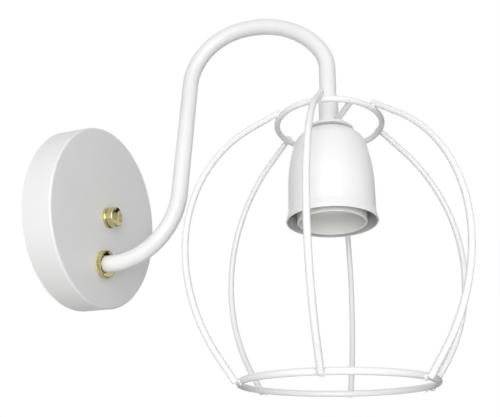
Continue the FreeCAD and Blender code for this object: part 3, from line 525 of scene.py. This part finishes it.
# %% Collar, hub, cup, nipple
skin("tube_collar_turned",
     [turned(rounded([(5.05, 36.8, 0), (5.85, 36.8, 0.25), (5.85, 58.8, 0.35), (5.05, 58.8, 0.1)]),
             CUP_AXIS, Z, 96)],
     POWDER, "arm", ["tube_collar"])
skin("cage_hub_pressed",
     [turned(rounded([(5.1, 35.2, 0.1), (14.0, 35.2, 0.4), (14.0, 36.8, 0.6), (5.1, 36.8, 0.2)]),
             CUP_AXIS, Z, 128)],
     POWDER, "cage", ["cage_hub"])
cup = rounded([(5.1, 35.2, 0), (8.0, 35.2, 0.35), (8.0, 34.2, 0.3), (19.0, 34.2, 12.0),
               (24.0, 11.0, 93.0), (24.0, -13.8, 10.0), (25.2, -19.8, 0.42), (24.3, -19.8, 0.38),
               (23.1, -13.8, 10.9), (23.1, 11.1, 92.1), (18.27, 33.3, 11.1), (5.1, 33.3, 0)], 14)
# The cup's material greys its inside as painted shade.
skin("lamp_cup_spun", [turned(filled_in(cup, 3.0), CUP_AXIS, Z, 192)],
     CUP_POWDER_SHADED, "arm", ["lamp_cup"])
nipple = filled_in(rounded([(3.5, 23.6, 0.1), (5.0, 23.6, 0.3), (5.0, 49.5, 0.3), (3.5, 49.5, 0.1)]),
                   0.16)
skin("nipple_cut", [turned(nipple, CUP_AXIS, Z, 64, thread(4.9, 23.4, 49.7, 1.0, 0.36))],
     ZINC, "arm", ["threaded_nipple"])

# %% [markdown]
# ## The lampholder
# Seen from below, the holder is a white ring with a grey well in it. The wide mouth is moulded, with
# eased edges; above it sits the screw shell. Its thread is rolled into thin sheet, so the inside
# and the outside wave together. The pitch is 3.63 mm, as on every large lamp cap.

# %% Skirt, cap and screw shell
skin("holder_skirt_moulded",
     [turned(rounded([(19.0, -20.3, 0.45), (19.0, -3.0, 0.8), (17.6, -3.0, 0), (17.6, 9.5, 0.2),
                      (13.9, 9.5, 0.2), (13.9, -8.3, 0.4), (17.9, -8.3, 0.2), (17.9, -20.3, 0.45)]),
             CUP_AXIS, Z, 160)],
     THERMOSET, "arm", ["holder_skirt"])
skin("holder_cap_moulded",
     [turned(rounded([(17.6, 9.5, 0.15), (17.6, 17.0, 3.0), (7.6, 25.6, 1.5), (7.6, 29.6, 0.6),
                      (5.05, 29.6, 0.1), (5.05, 23.6, 0.2), (7.6, 23.6, 0.4), (15.6, 16.0, 1.5),
                      (15.6, 9.5, 0.1)]), CUP_AXIS, Z, 128)],
     THERMOSET, "arm", ["holder_cap"])
SHELL_PITCH, SHELL_DEPTH = 3.63, 0.95


def rolled(radius, height, t):
    """Both faces of the shell move inwards by depth * (1 - cos(2 pi height / pitch - t)) / 2."""
    fade = np.clip(np.minimum(height + 7.1, 6.2 - height) / 1.5, 0, 1)
    return -SHELL_DEPTH * fade * (1 - np.cos(2 * np.pi * height / SHELL_PITCH - t)) / 2


shell = filled_in(rounded([(13.35, -7.3, 0.1), (13.75, -7.3, 0.1), (13.75, 6.35, 0.1),
                           (13.35, 6.35, 0.1)]), 0.22)
skin("screw_shell_rolled", [turned(shell, CUP_AXIS, Z, 144, rolled)],
     DULL_NICKEL, "arm", ["thread_sleeve"])

# %% [markdown]
# ## The cage
# Two rings, six ribs and two spokes of one round wire. A rib leaves its widest point upright, bends
# along an arc and runs out straight, where it touches both the arc and the circle of wire centres
# that are seated on a ring. A curve object could carry the wire; a table of rings along the path
# also lets the cut ends be eased.

# %% Path of a rib
WIRE, SEAT = 1.7, 3.1
TOP_RING, BOTTOM_RING = np.array([30.0, 39.65]), np.array([48.5, -104.1])   # (radius, height)
WIDEST = np.array([79.0, -37.5])
FULLNESS = 0.96


def flank(ring):
    """Arc and straight from the widest point to a ring, in (radius, height).

    One arc alone would have the radius R of (R - q)^2 + h^2 = (R - SEAT)^2. The arc drawn is
    FULLNESS * R, and the straight is the outer tangent of it and of the seat circle.
    """
    reach, rise = WIDEST[0] - ring[0], ring[1] - WIDEST[1]
    radius = FULLNESS * (reach ** 2 + rise ** 2 - SEAT ** 2) / (2 * (reach - SEAT))
    centre = WIDEST - [radius, 0]
    to_ring = ring - centre
    up = np.sign(rise)
    angle = up * (np.arctan2(abs(to_ring[1]), to_ring[0])
                  - np.arccos((radius - SEAT) / np.linalg.norm(to_ring)))
    turn = np.linspace(0, angle, int(abs(radius * angle) / 1.4))
    arc = centre + radius * np.stack([np.cos(turn), np.sin(turn)], -1)
    normal = np.array([np.cos(angle), np.sin(angle)])
    return arc, normal, up * np.array([-normal[1], normal[0]])


def out_at(angle):
    """Unit vector from the cage's axis at an angle in degrees: (cos, sin, 0)."""
    return np.array([np.cos(np.radians(angle)), np.sin(np.radians(angle)), 0])


def upright(path, angle):
    """Turn (radius, height) points about the cage's axis by an angle in degrees."""
    return CUP_AXIS + path[:, :1] * out_at(angle) + path[:, 1:] * Z


def bar(path, side, columns=20, ease=0.5):
    """A solid wire whose cut ends are eased by a quarter round and closed in a point."""
    near = ease * (1 - np.cos(np.linspace(0, np.pi / 2, 6)))
    away = [(path[n] - path[m]) / np.linalg.norm(path[n] - path[m]) for m, n in ((0, 1), (-1, -2))]
    line = np.concatenate([path[0] + near[:, None] * away[0], path[1:-1],
                           (path[-1] + near[:, None] * away[1])[::-1]])
    shrink = ease * (1 - np.sin(np.linspace(0, np.pi / 2, 6)))
    radius = np.full(len(line), WIRE)
    radius[:6] -= shrink
    radius[-6:] -= shrink[::-1]
    table = swept(line, side, radius, columns)
    tips = [np.repeat(point[None, None], columns, 1) for point in (line[0], line[-1])]
    return np.concatenate([tips[0], table, tips[1]])


# %% [markdown]
# ## Ribs, rings and spokes
# Six ribs stand 60 degrees apart, between a small ring above and a larger one below. The first rib
# stands well past the top ring, as the photograph shows, and the others only a little. Two straight
# spokes join the top ring to the hub. One loop makes the ribs, so that they can't differ by mistake.

# %% Ribs, rings and spokes
TURN = 185.6                               # degrees from +X to the first rib
FIRST_PAST_TOP, PAST_TOP = 6.5, 2.2        # wire beyond the top ring
SHORT_OF_BOTTOM = 0.9                      # wire that stops before the bottom ring's seat
upper_arc, upper_normal, upper_along = flank(TOP_RING)
lower_arc, lower_normal, lower_along = flank(BOTTOM_RING)
angles = TURN + 60 * np.arange(6)
for i, angle in enumerate(angles):
    past = FIRST_PAST_TOP if i == 0 else PAST_TOP
    top_end = TOP_RING + SEAT * upper_normal + past * upper_along
    low_end = BOTTOM_RING + SEAT * lower_normal - SHORT_OF_BOTTOM * lower_along
    steps = np.linspace(0, 1, 12)[:, None]
    rib_path = np.concatenate([top_end + steps[:-1] * (upper_arc[-1] - top_end), upper_arc[::-1],
                               lower_arc[1:], lower_arc[-1] + steps[1:] * (low_end - lower_arc[-1])])
    skin("rib_%d_wire" % (i + 1), [bar(upright(rib_path, angle), np.cross(Z, out_at(angle)))],
         POWDER, "cage", ["rib_%d" % (i + 1)], rows_close=False)
t = np.linspace(0, 2 * np.pi, 24, endpoint=False)
circle = WIRE * np.stack([np.cos(t), np.sin(t)], -1)
for name, ring in (("top_ring", TOP_RING), ("bottom_ring", BOTTOM_RING)):
    skin(name + "_wire", [turned(circle + ring, CUP_AXIS, Z, 200)],
         POWDER, "cage", [name])
SPOKE_ANGLES = (218.0, 398.0)              # opposite each other
SPOKE_BITE = 0.6                           # how far a spoke reaches into the ring's wire
spoke_ends = np.array([[30.0 - WIRE + SPOKE_BITE, 39.65], [9.2, 37.7]])
spoke_path = spoke_ends[0] + np.linspace(0, 1, 8)[:, None] * (spoke_ends[1] - spoke_ends[0])
for i, angle in enumerate(SPOKE_ANGLES):
    skin("spoke_%d_wire" % (i + 1), [bar(upright(spoke_path, angle), np.cross(Z, out_at(angle)))],
         POWDER, "cage", ["spoke_%d" % (i + 1)], rows_close=False)

# %% [markdown]
# ## Welds
# Where wires cross they are spot welded: the metal between them has sunk in a little and come out
# as a small collar of flash, which the powder coat has softened. Blending the wires into each other
# would take a remesh of the whole cage. A small flattened lump on each crossing hides the seam as
# the flash does, and a seeded generator makes every lump a little different.

# %% Welds
rng = np.random.default_rng(11)
RIB_FLASH = (1.95, 1.8, 0.7)               # half sizes of a lump
SPOKE_RING_FLASH, SPOKE_HUB_FLASH = (2.0, 1.75, 0.9), (2.1, 3.2, 0.6)


def flash(centre, one, two, sizes):
    """A lumpy flattened ball on a crossing: an ellipsoid with a few slow waves in its radius."""
    third = np.cross(one, two)
    tall = np.linspace(0, np.pi, 15)[:, None]
    t = np.linspace(0, 2 * np.pi, 24, endpoint=False)[None, :]
    lump = 1 + 0.07 * np.sin(3 * t + rng.uniform(0, 6)) * np.sin(tall) \
        + 0.05 * np.sin(5 * t + rng.uniform(0, 6)) * np.sin(tall) ** 2
    a, b, c = [s * lump * rng.uniform(0.94, 1.06) for s in sizes]
    return centre + (a * np.sin(tall) * np.cos(t))[..., None] * one \
        + (b * np.sin(tall) * np.sin(t))[..., None] * two + (c * np.cos(tall))[..., None] * third


lumps = []
for angle in angles:
    out = out_at(angle)
    across = np.cross(Z, out)
    for ring, normal, along in ((TOP_RING, upper_normal, upper_along),
                                (BOTTOM_RING, lower_normal, lower_along)):
        spot = upright((ring + normal * SEAT / 2)[None], angle)[0]
        lumps.append(flash(spot, across, along[0] * out + along[1] * Z, RIB_FLASH))
skin("rib_welds", lumps, POWDER, "cage", rows_close=False)
lumps = []
for angle in SPOKE_ANGLES:
    out = out_at(angle)
    across = np.cross(Z, out)
    for spot, second, sizes in (((28.4, 39.6), Z, SPOKE_RING_FLASH),
                                ((11.2, 36.9), out, SPOKE_HUB_FLASH)):
        lumps.append(flash(upright(np.array([spot]), angle)[0], across, second, sizes))
skin("spoke_welds", lumps, POWDER, "cage", rows_close=False)

# %% [markdown]
# ## Light
# One broad soft lamp stands behind the camera, above it and a little to its left. It only grazes
# the canopy's face and leaves it a calm grey, with soft shadows towards its far side. A small weak
# lamp, also behind the camera but a little lower, opens the underside, and a broad one on the far
# side keeps the right edges of cup and arm from going dark.
# Spotlights would need fewer watts, but they draw hard edges that the photograph doesn't have.

# %% Lamps
def soft_lamp(name, place, aim, size, watts):
    """A square area lamp at one point that faces another, both in millimetres."""
    data = bpy.data.lights.new(name, "AREA")
    data.size = size / 1000
    data.energy = watts
    lamp = bpy.data.objects.new(name, data)
    bpy.context.scene.collection.objects.link(lamp)
    lamp.location = np.array(place) / 1000
    towards = np.array(place, float) - np.array(aim, float)
    level = np.hypot(towards[0], towards[1])
    lamp.rotation_euler = (np.arctan2(level, towards[2]), 0, np.arctan2(towards[0], -towards[1]))
    print("%-10s %4.2f W" % (name, watts))


MIDPOINT = (0, -110, 0)
soft_lamp("key_light", (-765, -285, 30), MIDPOINT, 800, 3.95)
soft_lamp("low_fill", (-560, -380, -170), (0, -160, -20), 260, 1.3)
soft_lamp("side_fill", (820, 80, 200), MIDPOINT, 800, 1.8)

# %% [markdown]
# ## The room
# The world answers three kinds of ray. The camera sees plain white. Surfaces are lit by a soft room
# that is brighter above than below. Reflections see a grey-white room with one black card in it, as
# photographers stand beside metal: without it the brass has no dark side and reads as yellow paint.
# The card suits the photograph's own viewpoint. From some other sides it shows as a black spot in
# the cap nut's dish.

# %% World
BELOW, ABOVE = 0.24, 0.44                  # strength of the room's light
GLOSS_ROOM, GLOSS_CARD = 0.80, 0.015       # strength that reflections see
CARD_DIRECTION = (0.90, -0.20, -0.38)      # from the object to the middle of the card
world = bpy.data.worlds.new("studio")
bpy.context.scene.world = world
world.use_nodes = True
sky = world.node_tree
sky.nodes.clear()
direction = add(sky, "TexCoord").outputs["Generated"]
ray = add(sky, "LightPath")
height = add(sky, "SeparateXYZ", Vector=direction).outputs["Z"]
soft = add(sky, "MapRange", Value=height, n1=-0.3, n2=0.6, n3=BELOW, n4=ABOVE)
black_card = add(sky, "VectorMath", {"operation": "DOT_PRODUCT"}, n0=direction, n1=CARD_DIRECTION)
mirrored = add(sky, "MapRange", {"interpolation_type": "SMOOTHSTEP"},
               Value=black_card.outputs["Value"], n1=0.58, n2=0.80, n3=GLOSS_ROOM, n4=GLOSS_CARD)
room = add(sky, "Background", Color=linear("#FFFFFF"), Strength=soft.outputs[0])
seen_in_gloss = add(sky, "Background", Color=linear("#FFFFFF"), Strength=mirrored.outputs[0])
white = add(sky, "Background", Color=linear("#FFFFFF"), Strength=1.0)
lit = add(sky, "MixShader", n0=ray.outputs["Is Glossy Ray"], n1=room.outputs[0],
          n2=seen_in_gloss.outputs[0])
pick = add(sky, "MixShader", n0=ray.outputs["Is Camera Ray"], n1=lit.outputs[0],
           n2=white.outputs[0])
add(sky, "OutputWorld", Surface=pick.outputs[0])

# %% [markdown]
# ## The floor
# A pale painted sheet lies well below the light, and keeps its shadow. To the camera it also shows a
# share of its own pale colour as a glow, because lamps this weak would leave it grey. A stronger
# lamp would do the same, but it would burn out the white paint.

# %% Floor
FLOOR = -520.0
FLOOR_HALF = 650.0
FLOOR_GLOW = 0.6                           # share of its own colour that the camera sees
corner = np.array([[-1, -1], [1, -1], [1, 1], [-1, 1]]) * FLOOR_HALF / 1000
floor_mesh = bpy.data.meshes.new("floor")
floor_mesh.from_pydata(np.column_stack([corner, np.full(4, FLOOR / 1000)]), [], [(0, 1, 2, 3)])
floor = bpy.data.objects.new("floor", floor_mesh)
bpy.context.scene.collection.objects.link(floor)
pale = moulding("pale_floor", "#E6E6E4", "#ECECEA", 0.6, 0.7, 3.0, 0.02)
tree = pale.node_tree
glow = add(tree, "Emission", Color=linear("#F6F6F5"), Strength=1.0)
seen = add(tree, "Math", {"operation": "MULTIPLY"}, n1=FLOOR_GLOW,
           n0=add(tree, "LightPath").outputs["Is Camera Ray"])
both = add(tree, "MixShader", n0=seen.outputs[0], n2=glow.outputs[0],
           n1=tree.nodes["Principled BSDF"].outputs[0])
tree.links.new(both.outputs[0], tree.nodes["Material Output"].inputs["Surface"])
floor_mesh.materials.append(pale)

bpy.context.scene.view_settings.view_transform = "Standard"
